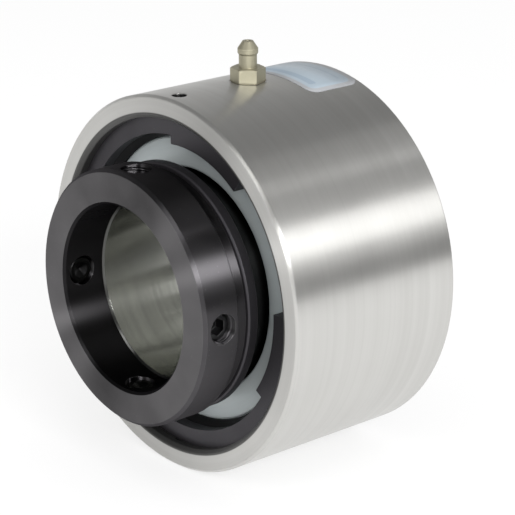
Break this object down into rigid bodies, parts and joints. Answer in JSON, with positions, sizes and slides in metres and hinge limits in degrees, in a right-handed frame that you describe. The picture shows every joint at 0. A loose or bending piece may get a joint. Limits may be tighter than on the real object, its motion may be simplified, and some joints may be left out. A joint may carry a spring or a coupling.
{
  "type": "cartridge bearing unit",
  "caption": "Cylindrical steel bearing cartridge with a self-aligning double-row roller insert, a set-screw locking collar, retaining rings and a grease fitting.",
  "frame": {"origin": "on the shaft's axis, midway along the housing, where the insert swivels", "axes": "+Y along the shaft, away from the locking collar; +Z towards the grease fitting"},
  "size_m": [0.125, 0.0909, 0.1383],
  "materials": {
    "turned_steel": "turned and ground",
    "bearing_steel": "ground",
    "blackened_steel": "black oxide",
    "phosphated_steel": "phosphated",
    "carrier_black": "blackened",
    "pressed_steel": "satin plated",
    "spring_steel": "bright",
    "screw_steel": "black oxide",
    "yellow_zinc": "yellow zinc",
    "cage_steel": "pressed",
    "seal_rubber": "matte",
    "label_film": "satin film"
  },
  "bodies": {
    "housing_unit": {"housing": "turned_steel", "outer_ring": "bearing_steel", "grease_fitting": "yellow_zinc", "fitting_spring": "spring_steel", "label": "label_film", "retaining_ring_front": "phosphated_steel", "retaining_ring_rear": "phosphated_steel", "seal_carrier_front": "carrier_black", "seal_carrier_rear": "carrier_black", "seal_shield_front": "pressed_steel", "seal_shield_rear": "pressed_steel"},
    "aligning_seals": {"seal_lip_front": "seal_rubber", "seal_lip_rear": "seal_rubber", "garter_spring_front": "spring_steel", "garter_spring_rear": "spring_steel"},
    "shaft_sleeve": {"inner_ring": "bearing_steel", "locking_collar": "blackened_steel", "set_screws": "screw_steel", "collar_wire_ring": "spring_steel", "slinger_ring_front": "phosphated_steel", "slinger_ring_rear": "phosphated_steel"},
    "cage_set": {"cage_front": "cage_steel", "cage_rear": "cage_steel", "guide_ring": "bearing_steel"},
    "check_ball": {"fitting_ball": "spring_steel"},
    "roller_front_1": {"roller_front_1": "bearing_steel"},
    "roller_front_2": {"roller_front_2": "bearing_steel"},
    "roller_front_3": {"roller_front_3": "bearing_steel"},
    "roller_front_4": {"roller_front_4": "bearing_steel"},
    "roller_front_5": {"roller_front_5": "bearing_steel"},
    "roller_front_6": {"roller_front_6": "bearing_steel"},
    "roller_front_7": {"roller_front_7": "bearing_steel"},
    "roller_front_8": {"roller_front_8": "bearing_steel"},
    "roller_front_9": {"roller_front_9": "bearing_steel"},
    "roller_front_10": {"roller_front_10": "bearing_steel"},
    "roller_front_11": {"roller_front_11": "bearing_steel"},
    "roller_front_12": {"roller_front_12": "bearing_steel"},
    "roller_front_13": {"roller_front_13": "bearing_steel"},
    "roller_front_14": {"roller_front_14": "bearing_steel"},
    "roller_front_15": {"roller_front_15": "bearing_steel"},
    "roller_front_16": {"roller_front_16": "bearing_steel"},
    "roller_front_17": {"roller_front_17": "bearing_steel"},
    "roller_rear_1": {"roller_rear_1": "bearing_steel"},
    "roller_rear_2": {"roller_rear_2": "bearing_steel"},
    "roller_rear_3": {"roller_rear_3": "bearing_steel"},
    "roller_rear_4": {"roller_rear_4": "bearing_steel"},
    "roller_rear_5": {"roller_rear_5": "bearing_steel"},
    "roller_rear_6": {"roller_rear_6": "bearing_steel"},
    "roller_rear_7": {"roller_rear_7": "bearing_steel"},
    "roller_rear_8": {"roller_rear_8": "bearing_steel"},
    "roller_rear_9": {"roller_rear_9": "bearing_steel"},
    "roller_rear_10": {"roller_rear_10": "bearing_steel"},
    "roller_rear_11": {"roller_rear_11": "bearing_steel"},
    "roller_rear_12": {"roller_rear_12": "bearing_steel"},
    "roller_rear_13": {"roller_rear_13": "bearing_steel"},
    "roller_rear_14": {"roller_rear_14": "bearing_steel"},
    "roller_rear_15": {"roller_rear_15": "bearing_steel"},
    "roller_rear_16": {"roller_rear_16": "bearing_steel"},
    "roller_rear_17": {"roller_rear_17": "bearing_steel"}
  },
  "joints": [
    {"name": "align_tilt", "type": "hinge", "parent": "housing_unit", "child": "aligning_seals", "pos_m": [0, 0, 0], "axis": [1, 0, 0], "range_deg": [-1, 1], "deforming": ["seal_lip_front", "seal_lip_rear"]},
    {"name": "shaft_spin", "type": "hinge", "parent": "aligning_seals", "child": "shaft_sleeve", "pos_m": [0, 0, 0], "axis": [0, 1, 0], "continuous": true},
    {"name": "cage_orbit", "type": "hinge", "parent": "aligning_seals", "child": "cage_set", "pos_m": [0, 0, 0], "axis": [0, 1, 0], "continuous": true},
    {"name": "ball_lift", "type": "slide", "parent": "housing_unit", "child": "check_ball", "axis": [0, 0, -1], "range_m": [0, 0.001], "stiffness_N_per_m": 300, "deforming": ["fitting_spring"]},
    {"name": "spin_front_1", "type": "hinge", "parent": "cage_set", "child": "roller_front_1", "pos_m": [0.03851, -0.0084, 0.01492], "axis": [0.1859, 0.9799, 0.072], "continuous": true},
    {"name": "spin_front_2", "type": "hinge", "parent": "cage_set", "child": "roller_front_2", "pos_m": [0.03052, -0.0084, 0.02783], "axis": [0.1473, 0.9799, 0.1343], "continuous": true},
    {"name": "spin_front_3", "type": "hinge", "parent": "cage_set", "child": "roller_front_3", "pos_m": [0.01841, -0.0084, 0.03697], "axis": [0.0889, 0.9799, 0.1785], "continuous": true},
    {"name": "spin_front_4", "type": "hinge", "parent": "cage_set", "child": "roller_front_4", "pos_m": [0.00381, -0.0084, 0.04113], "axis": [0.0184, 0.9799, 0.1985], "continuous": true},
    {"name": "spin_front_5", "type": "hinge", "parent": "cage_set", "child": "roller_front_5", "pos_m": [-0.0113, -0.0084, 0.03973], "axis": [-0.0546, 0.9799, 0.1918], "continuous": true},
    {"name": "spin_front_6", "type": "hinge", "parent": "cage_set", "child": "roller_front_6", "pos_m": [-0.02489, -0.0084, 0.03296], "axis": [-0.1201, 0.9799, 0.1591], "continuous": true},
    {"name": "spin_front_7", "type": "hinge", "parent": "cage_set", "child": "roller_front_7", "pos_m": [-0.03512, -0.0084, 0.02174], "axis": [-0.1695, 0.9799, 0.105], "continuous": true},
    {"name": "spin_front_8", "type": "hinge", "parent": "cage_set", "child": "roller_front_8", "pos_m": [-0.0406, -0.0084, 0.00759], "axis": [-0.196, 0.9799, 0.0366], "continuous": true},
    {"name": "spin_front_9", "type": "hinge", "parent": "cage_set", "child": "roller_front_9", "pos_m": [-0.0406, -0.0084, -0.00759], "axis": [-0.196, 0.9799, -0.0366], "continuous": true},
    {"name": "spin_front_10", "type": "hinge", "parent": "cage_set", "child": "roller_front_10", "pos_m": [-0.03512, -0.0084, -0.02174], "axis": [-0.1695, 0.9799, -0.105], "continuous": true},
    {"name": "spin_front_11", "type": "hinge", "parent": "cage_set", "child": "roller_front_11", "pos_m": [-0.02489, -0.0084, -0.03296], "axis": [-0.1201, 0.9799, -0.1591], "continuous": true},
    {"name": "spin_front_12", "type": "hinge", "parent": "cage_set", "child": "roller_front_12", "pos_m": [-0.0113, -0.0084, -0.03973], "axis": [-0.0546, 0.9799, -0.1918], "continuous": true},
    {"name": "spin_front_13", "type": "hinge", "parent": "cage_set", "child": "roller_front_13", "pos_m": [0.00381, -0.0084, -0.04113], "axis": [0.0184, 0.9799, -0.1985], "continuous": true},
    {"name": "spin_front_14", "type": "hinge", "parent": "cage_set", "child": "roller_front_14", "pos_m": [0.01841, -0.0084, -0.03697], "axis": [0.0889, 0.9799, -0.1785], "continuous": true},
    {"name": "spin_front_15", "type": "hinge", "parent": "cage_set", "child": "roller_front_15", "pos_m": [0.03052, -0.0084, -0.02783], "axis": [0.1473, 0.9799, -0.1343], "continuous": true},
    {"name": "spin_front_16", "type": "hinge", "parent": "cage_set", "child": "roller_front_16", "pos_m": [0.03851, -0.0084, -0.01492], "axis": [0.1859, 0.9799, -0.072], "continuous": true},
    {"name": "spin_front_17", "type": "hinge", "parent": "cage_set", "child": "roller_front_17", "pos_m": [0.0413, -0.0084, 0], "axis": [0.1994, 0.9799, 0], "continuous": true},
    {"name": "spin_rear_1", "type": "hinge", "parent": "cage_set", "child": "roller_rear_1", "pos_m": [0.03512, 0.0084, 0.02174], "axis": [-0.1695, 0.9799, -0.105], "continuous": true},
    {"name": "spin_rear_2", "type": "hinge", "parent": "cage_set", "child": "roller_rear_2", "pos_m": [0.02489, 0.0084, 0.03296], "axis": [-0.1201, 0.9799, -0.1591], "continuous": true},
    {"name": "spin_rear_3", "type": "hinge", "parent": "cage_set", "child": "roller_rear_3", "pos_m": [0.0113, 0.0084, 0.03973], "axis": [-0.0546, 0.9799, -0.1918], "continuous": true},
    {"name": "spin_rear_4", "type": "hinge", "parent": "cage_set", "child": "roller_rear_4", "pos_m": [-0.00381, 0.0084, 0.04113], "axis": [0.0184, 0.9799, -0.1985], "continuous": true},
    {"name": "spin_rear_5", "type": "hinge", "parent": "cage_set", "child": "roller_rear_5", "pos_m": [-0.01841, 0.0084, 0.03697], "axis": [0.0889, 0.9799, -0.1785], "continuous": true},
    {"name": "spin_rear_6", "type": "hinge", "parent": "cage_set", "child": "roller_rear_6", "pos_m": [-0.03052, 0.0084, 0.02783], "axis": [0.1473, 0.9799, -0.1343], "continuous": true},
    {"name": "spin_rear_7", "type": "hinge", "parent": "cage_set", "child": "roller_rear_7", "pos_m": [-0.03851, 0.0084, 0.01492], "axis": [0.1859, 0.9799, -0.072], "continuous": true},
    {"name": "spin_rear_8", "type": "hinge", "parent": "cage_set", "child": "roller_rear_8", "pos_m": [-0.0413, 0.0084, 0], "axis": [0.1994, 0.9799, 0], "continuous": true},
    {"name": "spin_rear_9", "type": "hinge", "parent": "cage_set", "child": "roller_rear_9", "pos_m": [-0.03851, 0.0084, -0.01492], "axis": [0.1859, 0.9799, 0.072], "continuous": true},
    {"name": "spin_rear_10", "type": "hinge", "parent": "cage_set", "child": "roller_rear_10", "pos_m": [-0.03052, 0.0084, -0.02783], "axis": [0.1473, 0.9799, 0.1343], "continuous": true},
    {"name": "spin_rear_11", "type": "hinge", "parent": "cage_set", "child": "roller_rear_11", "pos_m": [-0.01841, 0.0084, -0.03697], "axis": [0.0889, 0.9799, 0.1785], "continuous": true},
    {"name": "spin_rear_12", "type": "hinge", "parent": "cage_set", "child": "roller_rear_12", "pos_m": [-0.00381, 0.0084, -0.04113], "axis": [0.0184, 0.9799, 0.1985], "continuous": true},
    {"name": "spin_rear_13", "type": "hinge", "parent": "cage_set", "child": "roller_rear_13", "pos_m": [0.0113, 0.0084, -0.03973], "axis": [-0.0546, 0.9799, 0.1918], "continuous": true},
    {"name": "spin_rear_14", "type": "hinge", "parent": "cage_set", "child": "roller_rear_14", "pos_m": [0.02489, 0.0084, -0.03296], "axis": [-0.1201, 0.9799, 0.1591], "continuous": true},
    {"name": "spin_rear_15", "type": "hinge", "parent": "cage_set", "child": "roller_rear_15", "pos_m": [0.03512, 0.0084, -0.02174], "axis": [-0.1695, 0.9799, 0.105], "continuous": true},
    {"name": "spin_rear_16", "type": "hinge", "parent": "cage_set", "child": "roller_rear_16", "pos_m": [0.0406, 0.0084, -0.00759], "axis": [-0.196, 0.9799, 0.0366], "continuous": true},
    {"name": "spin_rear_17", "type": "hinge", "parent": "cage_set", "child": "roller_rear_17", "pos_m": [0.0406, 0.0084, 0.00759], "axis": [-0.196, 0.9799, -0.0366], "continuous": true}
  ],
  "couplings": [
    {"joint": "cage_orbit", "follows": "shaft_spin", "ratio": 0.41993},
    {"joint": "spin_front_1", "follows": "shaft_spin", "ratio": -2.9811},
    {"joint": "spin_front_2", "follows": "shaft_spin", "ratio": -2.9811},
    {"joint": "spin_front_3", "follows": "shaft_spin", "ratio": -2.9811},
    {"joint": "spin_front_4", "follows": "shaft_spin", "ratio": -2.9811},
    {"joint": "spin_front_5", "follows": "shaft_spin", "ratio": -2.9811},
    {"joint": "spin_front_6", "follows": "shaft_spin", "ratio": -2.9811},
    {"joint": "spin_front_7", "follows": "shaft_spin", "ratio": -2.9811},
    {"joint": "spin_front_8", "follows": "shaft_spin", "ratio": -2.9811},
    {"joint": "spin_front_9", "follows": "shaft_spin", "ratio": -2.9811},
    {"joint": "spin_front_10", "follows": "shaft_spin", "ratio": -2.9811},
    {"joint": "spin_front_11", "follows": "shaft_spin", "ratio": -2.9811},
    {"joint": "spin_front_12", "follows": "shaft_spin", "ratio": -2.9811},
    {"joint": "spin_front_13", "follows": "shaft_spin", "ratio": -2.9811},
    {"joint": "spin_front_14", "follows": "shaft_spin", "ratio": -2.9811},
    {"joint": "spin_front_15", "follows": "shaft_spin", "ratio": -2.9811},
    {"joint": "spin_front_16", "follows": "shaft_spin", "ratio": -2.9811},
    {"joint": "spin_front_17", "follows": "shaft_spin", "ratio": -2.9811},
    {"joint": "spin_rear_1", "follows": "shaft_spin", "ratio": -2.9811},
    {"joint": "spin_rear_2", "follows": "shaft_spin", "ratio": -2.9811},
    {"joint": "spin_rear_3", "follows": "shaft_spin", "ratio": -2.9811},
    {"joint": "spin_rear_4", "follows": "shaft_spin", "ratio": -2.9811},
    {"joint": "spin_rear_5", "follows": "shaft_spin", "ratio": -2.9811},
    {"joint": "spin_rear_6", "follows": "shaft_spin", "ratio": -2.9811},
    {"joint": "spin_rear_7", "follows": "shaft_spin", "ratio": -2.9811},
    {"joint": "spin_rear_8", "follows": "shaft_spin", "ratio": -2.9811},
    {"joint": "spin_rear_9", "follows": "shaft_spin", "ratio": -2.9811},
    {"joint": "spin_rear_10", "follows": "shaft_spin", "ratio": -2.9811},
    {"joint": "spin_rear_11", "follows": "shaft_spin", "ratio": -2.9811},
    {"joint": "spin_rear_12", "follows": "shaft_spin", "ratio": -2.9811},
    {"joint": "spin_rear_13", "follows": "shaft_spin", "ratio": -2.9811},
    {"joint": "spin_rear_14", "follows": "shaft_spin", "ratio": -2.9811},
    {"joint": "spin_rear_15", "follows": "shaft_spin", "ratio": -2.9811},
    {"joint": "spin_rear_16", "follows": "shaft_spin", "ratio": -2.9811},
    {"joint": "spin_rear_17", "follows": "shaft_spin", "ratio": -2.9811}
  ]
}
